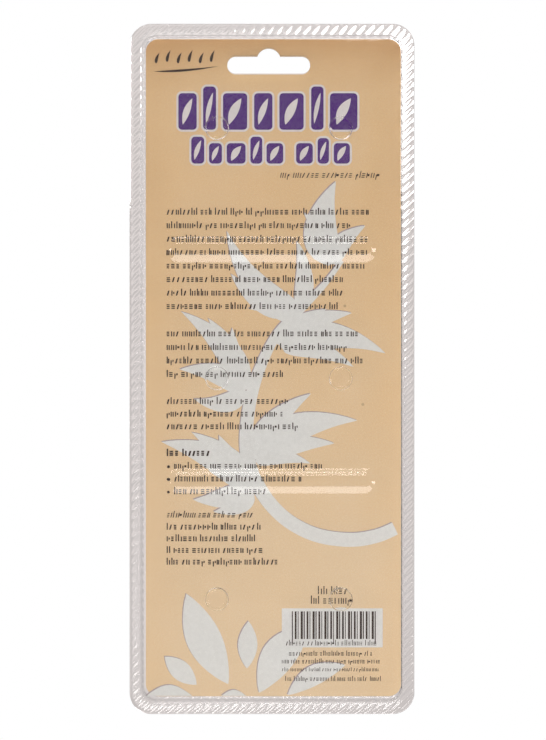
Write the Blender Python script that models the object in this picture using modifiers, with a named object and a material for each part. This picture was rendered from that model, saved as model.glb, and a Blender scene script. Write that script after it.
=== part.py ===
"""Three round stencil brushes in a clear two-part blister pack with a printed card.

Metres, +Z up. The pack hangs upright on a display hook, with its flat back
towards -Y and its three pockets towards +Y. The origin is where the hook bears:
the top of the hang slot, midway between the two welded flanges.
"""
import math
from collections import namedtuple

import bmesh
import bpy

# Both shells: the outline, the weld and the sheet they are formed from.
PACK_WIDTH = 0.106
PACK_HEIGHT = 0.257
PACK_MIDDLE = 0.0012            # the slot sits this far to the left of the middle
PACK_TOP = 0.0092               # from the top of the slot up to the top edge
PACK_CORNER = 0.008
WELD_WIDTH = 0.004
SHEET = 0.0005
GAP = 0.0003                    # between any two pieces that touch

# Back shell: a shallow tray, seen from behind, with its panel's border widths.
TRAY_DEPTH = 0.0030
BORDER_LEFT = 0.0060
BORDER_RIGHT = 0.0049
BORDER_TOP = 0.0058
BORDER_BOTTOM = 0.0067
PANEL_CORNER = 0.0048
RECESS_DRAFT = 0.0005           # how far a recess narrows towards its floor
RIB_LENGTH = 0.079
RIB_HEIGHT = 0.010
RIB_LEVELS = (-0.0753, -0.1614)
DIMPLE_DIAMETER = 0.0085
DIMPLE_COLUMNS = (-0.0192, 0.0268)
DIMPLE_LEVELS = (-0.0299, -0.1228, -0.2048)

# Backing card, and the hang slot that is punched through all three sheets.
CARD = 0.0004
SLOT_WIDTH = 0.0308
SLOT_TOP = -0.0030
SLOT_BOTTOM = -0.0097
SLOT_CORNER = 0.0031
HUMP_RADIUS = 0.0045

# Pockets of the front shell: room round the brush, draft and rounded edges.
HEAD_ROOM = 0.0020
NECK_ROOM = 0.0018
END_ROOM = 0.0030
TOP_ROOM = 0.0007
POCKET_DRAFT = 0.07             # narrowing for each unit of height
POCKET_EDGE = 0.0025
HEAD_CORNER = 0.0065
SHOULDER_RUN = 0.014

# Brushes, each hanging with its flat bristle tip up at TIP_LEVEL.
TIP_LEVEL = -0.026
TURN_STEPS = 24
FERRULE_WALL = 0.0004
MOUTH_TAPER = 0.0003
CRIMP_DEPTH = 0.00035
CRIMP_HALF = 0.0009
PLUG_LENGTH = 0.0045
TIP_BEVEL = 0.0007
TIE_HEIGHT = 0.0019
TIE_THICKNESS = 0.0007

# column: the brush's x. tuft: bristle diameter. bare: bristle outside the ferrule.
# ferrule: its length. waist, belly, tail: handle diameters. length: the whole brush.
Brush = namedtuple("Brush", "name column tuft bare ferrule waist belly tail length")
BRUSHES = (
    Brush("large", -0.0350, 0.0165, 0.019, 0.034, 0.0125, 0.0136, 0.0060, 0.200),
    Brush("medium", 0.0039, 0.0120, 0.015, 0.030, 0.0092, 0.0106, 0.0050, 0.192),
    Brush("small", 0.0398, 0.0075, 0.011, 0.026, 0.0066, 0.0080, 0.0040, 0.184),
)

FLANGE_BACK = GAP / 2
FLANGE_FRONT = FLANGE_BACK + SHEET
CARD_FRONT = FLANGE_BACK - GAP
CARD_BACK = CARD_FRONT - CARD
LEFT = PACK_MIDDLE - PACK_WIDTH / 2
RIGHT = PACK_MIDDLE + PACK_WIDTH / 2
TOP = PACK_TOP
BOTTOM = PACK_TOP - PACK_HEIGHT


# ---------------------------------------------------------------- modelling tools

def clear_scene():
    for item in list(bpy.data.objects):
        bpy.data.objects.remove(item, do_unlink=True)


def new_collection(name):
    collection = bpy.data.collections.new(name)
    bpy.context.scene.collection.children.link(collection)
    return collection


def new_material(name, colour, roughness, metallic=0.0, alpha=1.0):
    material = bpy.data.materials.new(name)
    material.use_nodes = True
    shader = material.node_tree.nodes["Principled BSDF"]
    shader.inputs["Base Color"].default_value = (*colour, 1.0)
    shader.inputs["Roughness"].default_value = roughness
    shader.inputs["Metallic"].default_value = metallic
    shader.inputs["Alpha"].default_value = alpha
    return material


def new_object(name, mesh, collection, material=None):
    item = bpy.data.objects.new(name, mesh)
    collection.objects.link(item)
    if material:
        mesh.materials.append(material)
    return item


def loft(sections):
    """A closed mesh through flat outlines: each section is (y, [(x, z), ...])."""
    shape = bmesh.new()
    rings = [[shape.verts.new((x, y, z)) for x, z in outline] for y, outline in sections]
    for ring, following in zip(rings, rings[1:]):
        for i in range(len(ring)):
            j = (i + 1) % len(ring)
            shape.faces.new((ring[i], ring[j], following[j], following[i]))
    shape.faces.new(rings[0])
    shape.faces.new(rings[-1])
    bmesh.ops.recalc_face_normals(shape, faces=shape.faces)
    mesh = bpy.data.meshes.new("loft")
    shape.to_mesh(mesh)
    shape.free()
    return mesh


def cutter(name, sections):
    item = new_object(name, loft(sections), cutters)
    item.hide_render = True
    item.display_type = "WIRE"
    return item


def boolean(item, other, operation="DIFFERENCE"):
    modifier = item.modifiers.new(other.name, "BOOLEAN")
    modifier.object = other
    modifier.operation = operation


def turned(name, profile, material, parent, closed=False):
    """A lathe shape about Z; the profile, as (radius, z), runs down its outer side."""
    mesh = bpy.data.meshes.new(name)
    last = len(profile) - 1
    edges = [(i, i + 1) for i in range(last)]
    if closed:
        edges.append((last, 0))
    mesh.from_pydata([(radius, 0.0, z) for radius, z in profile], edges, [])
    item = new_object(name, mesh, parts, material)
    screw = item.modifiers.new("turn", "SCREW")
    screw.steps = TURN_STEPS
    screw.render_steps = TURN_STEPS
    screw.use_merge_vertices = True
    screw.merge_threshold = 0.00001
    item.parent = parent
    return item


def rounded_rectangle(left, right, top, bottom, corner, steps=6):
    centres = ((right - corner, top - corner), (left + corner, top - corner),
               (left + corner, bottom + corner), (right - corner, bottom + corner))
    points = []
    for quarter, (x, z) in enumerate(centres):
        for i in range(steps + 1):
            angle = math.radians(90 * (quarter + i / steps))
            points.append((x + corner * math.cos(angle), z + corner * math.sin(angle)))
    return points


def pack_outline(inset, corner):
    return rounded_rectangle(LEFT + inset, RIGHT - inset, TOP - inset, BOTTOM + inset, corner)


def panel_outline(inset):
    return rounded_rectangle(LEFT + BORDER_LEFT + inset, RIGHT - BORDER_RIGHT - inset,
                             TOP - BORDER_TOP - inset, BOTTOM + BORDER_BOTTOM + inset,
                             PANEL_CORNER - inset)


def obround(x, z, length, height):
    """A bar with round ends; a circle when length and height are the same."""
    half = length / 2
    radius = height / 2
    return rounded_rectangle(x - half, x + half, z + radius, z - radius, radius * 0.999)


def smooth(t):
    return t * t * (3 - 2 * t)


# ---------------------------------------------------------------- back shell and card

def recess_sites():
    """Every recess pressed into the back panel, as (x, z, length, height)."""
    sites = [(PACK_MIDDLE, z, RIB_LENGTH, RIB_HEIGHT) for z in RIB_LEVELS]
    for x in DIMPLE_COLUMNS:
        sites += [(x, z, DIMPLE_DIAMETER, DIMPLE_DIAMETER) for z in DIMPLE_LEVELS]
    return sites


def recess_sections(site, mouth, floor, grow):
    x, z, length, height = site
    wide = obround(x, z, length + 2 * grow, height + 2 * grow)
    slim = 2 * (grow - RECESS_DRAFT)
    return [(mouth, wide), (floor, obround(x, z, length + slim, height + slim))]


def make_back_shell():
    """The tray, its inside cut out except behind the recesses, then the recesses."""
    corner = PACK_CORNER - WELD_WIDTH / 2
    shell = new_object("back_shell", loft([
        (-FLANGE_BACK, pack_outline(0, PACK_CORNER)),
        (-FLANGE_FRONT, pack_outline(0, PACK_CORNER)),
        (-FLANGE_FRONT, pack_outline(WELD_WIDTH, corner)),
        (-TRAY_DEPTH, panel_outline(0)),
    ]), parts, film)
    inside = cutter("tray_inside", [
        (FLANGE_BACK, pack_outline(WELD_WIDTH + SHEET, corner - SHEET)),
        (-FLANGE_FRONT, pack_outline(WELD_WIDTH + SHEET, corner - SHEET)),
        (-TRAY_DEPTH + SHEET, panel_outline(SHEET)),
    ])
    floor = CARD_BACK - GAP
    for number, site in enumerate(recess_sites()):
        backing = cutter(f"recess_backing_{number}",
                         recess_sections(site, -TRAY_DEPTH, floor, SHEET))
        boolean(inside, backing)
    boolean(shell, inside)
    for number, site in enumerate(recess_sites()):
        hollow = cutter(f"recess_{number}",
                        recess_sections(site, -TRAY_DEPTH - SHEET, floor - SHEET, 0))
        boolean(shell, hollow)
    return shell


def make_card():
    outline = panel_outline(0)
    return new_object("backing_card", loft([(CARD_BACK, outline), (CARD_FRONT, outline)]),
                      parts, board)


def punch_slot(sheets):
    """The hang slot: a long bar for the hook's arm and a hump that centres it."""
    reach = TRAY_DEPTH * 2
    bar = rounded_rectangle(-SLOT_WIDTH / 2, SLOT_WIDTH / 2, SLOT_TOP, SLOT_BOTTOM, SLOT_CORNER)
    hump = obround(0, -HUMP_RADIUS, 2 * HUMP_RADIUS, 2 * HUMP_RADIUS)
    for name, outline in (("slot_bar", bar), ("slot_hump", hump)):
        punch = cutter(name, [(-reach, outline), (reach, outline)])
        for sheet in sheets:
            boolean(sheet, punch)


# ---------------------------------------------------------------- front shell

def mouth_radius(brush):
    return brush.tuft / 2 + FERRULE_WALL


def axis_depth(brush):
    """The brush lies with the mouth of its ferrule just clear of the card."""
    return CARD_FRONT + GAP + mouth_radius(brush)


def pocket_outline(brush, inset):
    """Plan of a pocket: a wide head, a soft shoulder, then a channel to a round tail."""
    head = mouth_radius(brush) + HEAD_ROOM - inset
    neck = brush.belly / 2 + NECK_ROOM - inset
    tail = brush.tail / 2 + NECK_ROOM + HEAD_ROOM - inset
    top = TIP_LEVEL + END_ROOM - inset
    shoulder = TIP_LEVEL - brush.bare - brush.ferrule + SHOULDER_RUN / 3
    end = TIP_LEVEL - brush.length - END_ROOM + inset
    corner = min(HEAD_CORNER, head * 0.8)
    side = []
    for i in range(5):
        angle = math.radians(90 - 22.5 * i)
        side.append((head - corner + corner * math.cos(angle),
                     top - corner + corner * math.sin(angle)))
    for i in range(5):
        side.append((head + (neck - head) * smooth(i / 4), shoulder - SHOULDER_RUN * i / 4))
    for i in range(6):
        angle = math.radians(-18 * i)
        side.append((tail * math.cos(angle), end + tail + tail * math.sin(angle)))
    mirrored = [(-x, z) for x, z in reversed(side[:-1])]
    return [(brush.column + x, z) for x, z in side + mirrored]


def pocket_sections(brush, start, height, inset, edge):
    """From the flange up the drafted wall, round the edge and across the flat top."""
    sections = [(start, pocket_outline(brush, inset + POCKET_DRAFT * start))]
    lean = inset + POCKET_DRAFT * height
    for degrees in (0, 45, 90):
        angle = math.radians(degrees)
        sections.append((height - edge + edge * math.sin(angle),
                         pocket_outline(brush, lean + edge * (1 - math.cos(angle)))))
    return sections


def make_front_shell():
    outline = pack_outline(0, PACK_CORNER)
    shell = new_object("front_shell", loft([(FLANGE_BACK, outline), (FLANGE_FRONT, outline)]),
                       parts, film)
    for brush in BRUSHES:
        height = axis_depth(brush) + mouth_radius(brush) + TOP_ROOM
        outside = cutter(f"{brush.name}_pocket_outside", pocket_sections(
            brush, FLANGE_BACK + SHEET / 2, height + SHEET, -SHEET, POCKET_EDGE))
        inside = cutter(f"{brush.name}_pocket_inside", pocket_sections(
            brush, 0, height, 0, POCKET_EDGE - SHEET))
        boolean(shell, outside, "UNION")
        boolean(shell, inside)
    return shell


# ---------------------------------------------------------------- brushes

def ferrule_outline(brush):
    """Outer side of the ferrule as (radius, depth below its mouth), top to bottom."""
    mouth = mouth_radius(brush)
    waist = brush.waist / 2
    points = [(mouth, 0.0), (mouth - MOUTH_TAPER, 0.42 * brush.ferrule),
              (waist, 0.70 * brush.ferrule)]
    for share in (0.80, 0.90):
        depth = share * brush.ferrule
        points += [(waist, depth - CRIMP_HALF), (waist - CRIMP_DEPTH, depth),
                   (waist, depth + CRIMP_HALF)]
    return points + [(waist, brush.ferrule)]


def bore_radius(brush, depth):
    """Inside radius of the ferrule at a depth above its crimps."""
    outline = ferrule_outline(brush)
    for (upper, high), (lower, low) in zip(outline, outline[1:]):
        if depth <= low:
            break
    share = (depth - high) / (low - high)
    return upper + (lower - upper) * share - FERRULE_WALL


def root_depth(brush):
    return 0.38 * brush.ferrule


def root_radius(brush):
    return brush.tuft / 2 - MOUTH_TAPER - GAP


def handle_profile(brush):
    """Tenon in the ferrule, shoulder, belly, long taper and round tail."""
    mouth = TIP_LEVEL - brush.bare
    waist = brush.waist / 2
    belly = brush.belly / 2
    tail = brush.tail / 2
    tenon = waist - FERRULE_WALL - CRIMP_DEPTH - GAP
    nose = mouth - root_depth(brush) - PLUG_LENGTH - 2 * GAP
    shoulder = mouth - brush.ferrule - GAP
    end = TIP_LEVEL - brush.length
    taper = shoulder - end - tail
    profile = [(0.0, nose), (tenon - TIP_BEVEL, nose), (tenon, nose - TIP_BEVEL),
               (tenon, shoulder), (waist, shoulder)]
    for share in (0.06, 0.12, 0.18):
        rise = smooth(share / 0.18)
        profile.append((waist + (belly - waist) * rise, shoulder - taper * share))
    for i in range(1, 8):
        share = 0.18 + 0.82 * i / 7
        profile.append((belly + (tail - belly) * smooth(i / 7), shoulder - taper * share))
    for i in range(1, 4):
        angle = math.radians(30 * i)
        profile.append((tail * math.cos(angle) if i < 3 else 0.0,
                        end + tail - tail * math.sin(angle)))
    return profile


def ferrule_profile(brush):
    mouth = TIP_LEVEL - brush.bare
    outer = ferrule_outline(brush)
    inner = [(radius - FERRULE_WALL, depth) for radius, depth in reversed(outer)]
    return [(radius, mouth - depth) for radius, depth in outer + inner]


def tie_levels(brush):
    """Top and bottom of the thread that binds the tuft just above its glued end."""
    bottom = TIP_LEVEL - brush.bare - root_depth(brush) + 2 * TIE_HEIGHT
    return bottom + TIE_HEIGHT, bottom


def bristle_profile(brush):
    """Flat tip, bare bristle, and a root with a neck where the thread is tied."""
    mouth = TIP_LEVEL - brush.bare
    tuft = brush.tuft / 2
    root = root_radius(brush)
    neck = root - TIE_THICKNESS - GAP
    high, low = tie_levels(brush)
    end = mouth - root_depth(brush)
    return [(0.0, TIP_LEVEL), (tuft - TIP_BEVEL, TIP_LEVEL), (tuft, TIP_LEVEL - TIP_BEVEL),
            (tuft, mouth + 2 * GAP), (root, mouth + GAP),
            (root, high + 2 * GAP), (neck, high + GAP), (neck, low - GAP),
            (root, low - 2 * GAP), (root, end), (0.0, end)]


def plug_profile(brush):
    mouth = TIP_LEVEL - brush.bare
    top = root_depth(brush) + GAP
    bottom = top + PLUG_LENGTH
    corner = 0.42 * brush.ferrule
    rims = [(bore_radius(brush, depth) - GAP, mouth - depth) for depth in (top, corner, bottom)]
    return [(0.0, mouth - top)] + rims + [(0.0, mouth - bottom)]


def tie_profile(brush):
    high, low = tie_levels(brush)
    outer = root_radius(brush)
    inner = outer - TIE_THICKNESS
    middle = (outer + inner) / 2
    return [(middle, high), (outer, (high + low) / 2), (middle, low), (inner, (high + low) / 2)]


def make_brush(brush):
    axis = bpy.data.objects.new(f"{brush.name}_brush", None)
    axis.location = (brush.column, axis_depth(brush), 0)
    parts.objects.link(axis)
    turned(f"{brush.name}_brush_handle", handle_profile(brush), beech, axis)
    turned(f"{brush.name}_brush_ferrule", ferrule_profile(brush), nickel, axis, closed=True)
    turned(f"{brush.name}_brush_bristles", bristle_profile(brush), bristle, axis)
    turned(f"{brush.name}_brush_glue_plug", plug_profile(brush), epoxy, axis)
    turned(f"{brush.name}_brush_thread_tie", tie_profile(brush), thread, axis, closed=True)


clear_scene()
parts = new_collection("stencil_brush_pack")
cutters = new_collection("cutters")
film = new_material("clear_film", (0.86, 0.87, 0.87), 0.08, alpha=0.35)
board = new_material("printed_board", (0.70, 0.46, 0.23), 0.55)
beech = new_material("lacquered_beech", (0.62, 0.38, 0.17), 0.25)
nickel = new_material("nickel_plate", (0.72, 0.70, 0.66), 0.18, metallic=1.0)
bristle = new_material("hog_bristle", (0.74, 0.66, 0.50), 0.7)
epoxy = new_material("epoxy", (0.55, 0.42, 0.18), 0.2)
thread = new_material("waxed_thread", (0.55, 0.50, 0.42), 0.8)

back_shell = make_back_shell()
backing_card = make_card()
front_shell = make_front_shell()
punch_slot((back_shell, backing_card, front_shell))
for one in BRUSHES:
    make_brush(one)
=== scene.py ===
import math
import random
from collections import namedtuple

import bmesh
import bpy
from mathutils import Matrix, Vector


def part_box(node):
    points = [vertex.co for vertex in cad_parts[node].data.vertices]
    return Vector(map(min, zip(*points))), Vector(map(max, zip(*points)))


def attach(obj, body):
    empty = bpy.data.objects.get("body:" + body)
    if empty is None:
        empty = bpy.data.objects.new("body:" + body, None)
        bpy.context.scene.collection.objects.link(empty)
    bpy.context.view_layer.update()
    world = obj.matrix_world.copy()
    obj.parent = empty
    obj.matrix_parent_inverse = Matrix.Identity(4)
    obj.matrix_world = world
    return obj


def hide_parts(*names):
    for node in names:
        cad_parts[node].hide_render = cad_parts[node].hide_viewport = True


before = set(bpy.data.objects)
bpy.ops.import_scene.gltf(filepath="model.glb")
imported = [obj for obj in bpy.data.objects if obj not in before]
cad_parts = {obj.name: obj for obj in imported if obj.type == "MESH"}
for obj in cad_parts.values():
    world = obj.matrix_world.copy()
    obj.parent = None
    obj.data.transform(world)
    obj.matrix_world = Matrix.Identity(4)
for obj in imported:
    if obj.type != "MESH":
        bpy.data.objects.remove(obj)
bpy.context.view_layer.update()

# ------ studio
# A white product studio: a pale floor well below the hanging pack, strip lights high and
# low in front of its back, two side lights and one for the pockets behind it.
pack_low, pack_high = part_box("back_shell")
LEFT, RIGHT = pack_low.x, pack_high.x
BOTTOM, TOP = pack_low.z, pack_high.z
PACK_MIDDLE = (LEFT + RIGHT) / 2
PACK_CENTRE = (TOP + BOTTOM) / 2
CAMERA_LENS = 100
CAMERA_SENSOR = 36
VIEW_HEIGHT = (TOP - BOTTOM) * 1.0725
VIEW_SHIFT = 0.0004
FLOOR_DROP = 0.45
FLOOR_RADIUS = 2.0
SEEN_THROUGH_FILM = (0.690, 0.650, 0.638)


def softbox(name, place, size, energy):
    """A rectangular light aimed at the middle of the pack."""
    light = bpy.data.lights.new(name, "AREA")
    light.shape = "RECTANGLE"
    light.size, light.size_y = size
    light.energy = energy
    item = bpy.data.objects.new(name, light)
    bpy.context.scene.collection.objects.link(item)
    item.location = place
    aim = Vector((PACK_MIDDLE, 0, PACK_CENTRE)) - item.location
    item.rotation_euler = aim.to_track_quat("-Z", "Y").to_euler()


def feed(tree, socket, value):
    """Links an input when given a socket, or sets its plain value."""
    if isinstance(value, bpy.types.NodeSocket):
        tree.links.new(value, socket)
    elif socket.type == "RGBA":
        socket.default_value = (*value, 1)
    else:
        socket.default_value = value


def dress(tree, item, **inputs):
    """Feeds a node's inputs by their names."""
    for name, value in inputs.items():
        feed(tree, item.inputs[name.replace("_", " ")], value)


def add(tree, kind, settings=None, **inputs):
    """A new shader node, with its inputs given by name."""
    item = tree.nodes.new("ShaderNode" + kind)
    for name, value in (settings or {}).items():
        setattr(item, name, value)
    dress(tree, item, **inputs)
    return item


def maths(tree, operation, *values, clamp=False):
    item = tree.nodes.new("ShaderNodeMath")
    item.operation = operation
    item.use_clamp = clamp
    for socket, value in zip(item.inputs, values):
        feed(tree, socket, value)
    return item.outputs[0]


def mixed(tree, factor, first, second, blend="MIX"):
    """Two colours mixed; each may be a colour or a socket."""
    item = tree.nodes.new("ShaderNodeMix")
    item.data_type = "RGBA"
    item.blend_type = blend
    for number, value in ((0, factor), (6, first), (7, second)):
        feed(tree, item.inputs[number], value)
    return item.outputs[2]


def ramp(tree, factor, stops, smooth=False):
    """A colour ramp; each stop is (place, grey) or (place, (r, g, b))."""
    item = tree.nodes.new("ShaderNodeValToRGB")
    if smooth:
        item.color_ramp.interpolation = "EASE"
    while len(item.color_ramp.elements) < len(stops):
        item.color_ramp.elements.new(0.5)
    for element, (place, colour) in zip(item.color_ramp.elements, stops):
        element.position = place
        grey = (colour, colour, colour) if isinstance(colour, (int, float)) else colour
        element.color = (*grey, 1)
    tree.links.new(factor, item.inputs[0])
    return item.outputs[0]


def new_material(name, **inputs):
    """A material with its Principled shader; plain values are set by input name."""
    material = bpy.data.materials.new(name)
    material.use_nodes = True
    shader = material.node_tree.nodes["Principled BSDF"]
    dress(material.node_tree, shader, **inputs)
    return material, material.node_tree, shader


def show_either(tree, factor, first, second):
    """The surface is the first shader where factor is 0, and the second where it is 1."""
    either = add(tree, "MixShader", Fac=factor)
    tree.links.new(first.outputs[0], either.inputs[1])
    tree.links.new(second.outputs[0], either.inputs[2])
    tree.links.new(either.outputs[0], tree.nodes["Material Output"].inputs["Surface"])


camera_data = bpy.data.cameras.new("camera")
camera_data.lens = CAMERA_LENS
camera_data.sensor_width = CAMERA_SENSOR
camera_data.clip_start = 0.01
camera = bpy.data.objects.new("camera", camera_data)
bpy.context.scene.collection.objects.link(camera)
camera.location = (PACK_MIDDLE + VIEW_SHIFT, -VIEW_HEIGHT * CAMERA_LENS / CAMERA_SENSOR,
                   PACK_CENTRE - VIEW_SHIFT)
camera.rotation_euler = (math.radians(90), 0, 0)
bpy.context.scene.camera = camera
bpy.context.scene.view_settings.view_transform = "Standard"

softbox("high_front_light", (-0.08, -0.55, 0.55), (0.98, 0.41), 2.75)
softbox("low_front_light", (0.12, -0.54, -0.64), (0.40, 0.22), 1.8)
softbox("left_light", (-0.72, -0.40, 0.02), (0.12, 0.40), 0.7)
softbox("right_light", (0.74, -0.35, 0.10), (0.12, 0.36), 0.7)
softbox("pocket_light", (0.35, 0.75, 0.25), (0.50, 0.50), 3.2)

world = bpy.data.worlds.new("studio")
bpy.context.scene.world = world
world.use_nodes = True
sky = world.node_tree
direction = add(sky, "TexCoord").outputs["Generated"]
split = add(sky, "SeparateXYZ", Vector=direction)
upward = ramp(sky, maths(sky, "MULTIPLY_ADD", split.outputs["Z"], 0.5, 0.5),
              ((0.0, 0.46), (0.35, 0.52), (0.52, 0.68), (0.75, 0.75), (1.0, 0.76)), smooth=True)
behind = ramp(sky, maths(sky, "MULTIPLY_ADD", split.outputs["Y"], 0.5, 0.5),
              ((0.0, 0.31), (0.25, 0.54), (0.6, 1.0)), smooth=True)
reflected = mixed(sky, 1.0, upward, behind, "MULTIPLY")


def looks_through(tree, ray):
    """1 where the camera looks straight through the clear film, not where a matt piece is lit."""
    first = maths(tree, "LESS_THAN", ray.outputs["Diffuse Depth"], 0.5)
    return maths(tree, "MULTIPLY", ray.outputs["Is Transmission Ray"], first)


ray = add(sky, "LightPath")
slant = maths(sky, "SUBTRACT", split.outputs["Z"], split.outputs["X"])
bands = maths(sky, "MULTIPLY_ADD", maths(sky, "SINE", maths(sky, "MULTIPLY", slant, 8.0)), 0.15, 1.02)
backdrop = mixed(sky, 1.0, SEEN_THROUGH_FILM, bands, "MULTIPLY")
through_film = mixed(sky, looks_through(sky, ray), reflected, backdrop)
seen = mixed(sky, ray.outputs["Is Camera Ray"], through_film, (1, 1, 1))
sky.links.new(seen, sky.nodes["Background"].inputs["Color"])

floor_mesh = bpy.data.meshes.new("floor")
floor_shape = bmesh.new()
bmesh.ops.create_circle(floor_shape, cap_ends=True, radius=FLOOR_RADIUS, segments=96)
floor_shape.to_mesh(floor_mesh)
floor_shape.free()
floor = bpy.data.objects.new("floor", floor_mesh)
bpy.context.scene.collection.objects.link(floor)
floor.location = (PACK_MIDDLE, 0, BOTTOM - FLOOR_DROP)
paper, paper_tree, paper_shader = new_material("floor_paper", Roughness=0.9, Specular_IOR_Level=0.1,
                                                Base_Color=(0.94, 0.94, 0.94),
                                                Emission_Color=(1, 1, 1), Emission_Strength=0.45)
depth = add(paper_tree, "SeparateXYZ", Vector=add(paper_tree, "TexCoord").outputs["Object"]).outputs["Y"]
tone = add(paper_tree, "MapRange", Value=depth, From_Min=-1.2, From_Max=1.2, To_Min=0.22, To_Max=0.64)
paper_ray = add(paper_tree, "LightPath")
colour = mixed(paper_tree, looks_through(paper_tree, paper_ray), tone.outputs[0], SEEN_THROUGH_FILM)
dull = add(paper_tree, "Emission", Color=colour)
show_either(paper_tree, paper_ray.outputs["Is Camera Ray"], dull, paper_shader)
floor_mesh.materials.append(paper)

# ------ clear film
# Both shells are vacuum-formed from thin clear sheet, bought on the roll: glossy, very
# slightly grey, with faint hairlines from handling and a soft unevenness from forming.
FILM = 0.00042
FILM_TINT = (0.970, 0.962, 0.960)
FILM_SHADE = (0.95, 0.95, 0.95)


def marks_group():
    """Group: hairlines and specks from handling, as a mask from 0 to 1."""
    group = bpy.data.node_groups.new("handling_marks", "ShaderNodeTree")
    scale = group.interface.new_socket("Scale", in_out="INPUT", socket_type="NodeSocketFloat")
    scale.default_value = 1.0
    group.interface.new_socket("Mask", in_out="OUTPUT", socket_type="NodeSocketFloat")
    inlet = group.nodes.new("NodeGroupInput")
    outlet = group.nodes.new("NodeGroupOutput")
    place = add(group, "TexCoord").outputs["Object"]
    lines = []
    for turn, stretch in ((0.4, (900, 900, 14)), (2.2, (14, 900, 900)), (1.1, (700, 700, 9))):
        mapped = add(group, "Mapping", Vector=place, Scale=stretch, Rotation=(0, turn, 0))
        scaled = add(group, "VectorMath", {"operation": "SCALE"}, Vector=mapped.outputs[0],
                     Scale=inlet.outputs["Scale"])
        noise = add(group, "TexNoise", Vector=scaled.outputs[0], Scale=1.0, Detail=1.0)
        lines.append(maths(group, "GREATER_THAN", noise.outputs[0], 0.735))
    specks = add(group, "TexNoise", Vector=place, Scale=1500.0, Detail=0.0)
    lines.append(maths(group, "GREATER_THAN", specks.outputs[0], 0.80))
    total = lines[0]
    for one in lines[1:]:
        total = maths(group, "ADD", total, one, clamp=True)
    group.links.new(total, outlet.inputs["Mask"])
    return group


handling_marks = marks_group()


def marks(tree, scale):
    item = tree.nodes.new("ShaderNodeGroup")
    item.node_tree = handling_marks
    item.inputs["Scale"].default_value = scale
    return item.outputs["Mask"]


def relief(tree, shader, height, distance, strength):
    """Fine relief in the shader's normal, from a height that changes over the surface."""
    bump = add(tree, "Bump", Height=height, Distance=distance, Strength=strength)
    dress(tree, shader, Normal=bump.outputs[0])


def clear_film(name):
    """Clear sheet: refracts and reflects, and lets light through to what lies inside."""
    material, tree, shader = new_material(name, Base_Color=FILM_TINT, Transmission_Weight=1.0, IOR=1.53)
    dress(tree, shader, Roughness=maths(tree, "MULTIPLY_ADD", marks(tree, 1.0), 0.09, 0.022))
    place = add(tree, "TexCoord").outputs["Object"]
    waves = add(tree, "TexNoise", Vector=place, Scale=70.0, Detail=1.5, Roughness=0.4)
    relief(tree, shader, waves.outputs[0], 0.00005, 1.0)
    through = add(tree, "BsdfTransparent", Color=FILM_SHADE)
    show_either(tree, add(tree, "LightPath").outputs["Is Shadow Ray"], shader, through)
    return material


# ------ back shell
# A shallow tray with its flange welded to the front shell's by a rope-pattern die, two
# long ribs and six round dimples pressed in towards the card, and a punched hang slot.
WELD_WIDTH = 0.004
WELD_MARGINS = (0.0009, 0.0002, 0.0005, 0.0004)
RIB_PITCH = 0.00335
PACK_CORNER = 0.008
MOUTH_CORNER = 0.006
PANEL_BORDERS = (0.0060, 0.0049, 0.0058, 0.0067)
PANEL_CORNER = 0.0048
TRAY_DEPTH = -pack_low.y
FLANGE = 0.00045
FLANGE_INSIDE = 0.00003
RIB_CREST = 0.00026
RIB_VALLEY = -0.00010
CUT_ROUND = 0.00020
CUT_WIDTH = 0.00024
MOUTH_FOLD = 0.00004
RECESS_DEPTH = 0.00165
DIMPLE_DEPTH = 0.0014
RIB_SLOPE = 0.0036
RIB_RISE = 0.0009
WALL_SHIFT = 0.00028
RECESS_SHIFT = 0.0003
DIMPLE_SLOPE = 0.0012
RECESS_RIBS = ((PACK_MIDDLE, -0.0753, 0.079, 0.010), (PACK_MIDDLE, -0.1614, 0.079, 0.010))
DIMPLES = tuple((x, z, 0.0085, 0.0085) for x in (-0.0192, 0.0268) for z in (-0.0299, -0.1228, -0.2048))
SLOT_HALF = 0.0154
SLOT_TOP = -0.0030
SLOT_BOTTOM = -0.0097
SLOT_CORNER = 0.0031
HUMP_RADIUS = 0.0045
BAND_COUNTS = (280, 740, 40)
CLEAR_FILM = clear_film("clear_film_back")


def ease(t):
    return t * t * (3 - 2 * t)


def rounded_loop(left, right, top, bottom, corner, counts):
    """Points round a rounded rectangle, with set counts along a level side, an upright side and a corner."""
    across, down, bend = counts
    centres = ((right - corner, top - corner), (left + corner, top - corner),
               (left + corner, bottom + corner), (right - corner, bottom + corner))
    points = []
    for quarter, (x, z) in enumerate(centres):
        for i in range(bend + 1):
            angle = math.radians(90 * (quarter + i / bend))
            points.append((x + corner * math.cos(angle), z + corner * math.sin(angle)))
        start = points[-1]
        after = centres[(quarter + 1) % 4]
        turn = math.radians(90 * (quarter + 1))
        end = (after[0] + corner * math.cos(turn), after[1] + corner * math.sin(turn))
        count = across if quarter % 2 == 0 else down
        for i in range(1, count):
            share = i / count
            points.append((start[0] + (end[0] - start[0]) * share, start[1] + (end[1] - start[1]) * share))
    return points


def pack_loop(insets, corner):
    left, right, top, bottom = insets
    return rounded_loop(LEFT + left, RIGHT - right, TOP - top, BOTTOM + bottom, corner, BAND_COUNTS)


def blend_insets(first, second, share):
    return tuple(a + (b - a) * share for a, b in zip(first, second))


def rope(x, z):
    """Height of the weld's rope pattern: 0 in the grooves, 1 on the crests, rising to the right."""
    turn = ((x - z) / RIB_PITCH) % 1.0
    return (1 - abs(2 * turn - 1)) ** 1.6


def add_ring(shape, loop, height):
    """A ring of vertices; height is a y, or a function of (x, z)."""
    level = height if callable(height) else (lambda x, z: height)
    return [shape.verts.new((x, level(x, z), z)) for x, z in loop]


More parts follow.
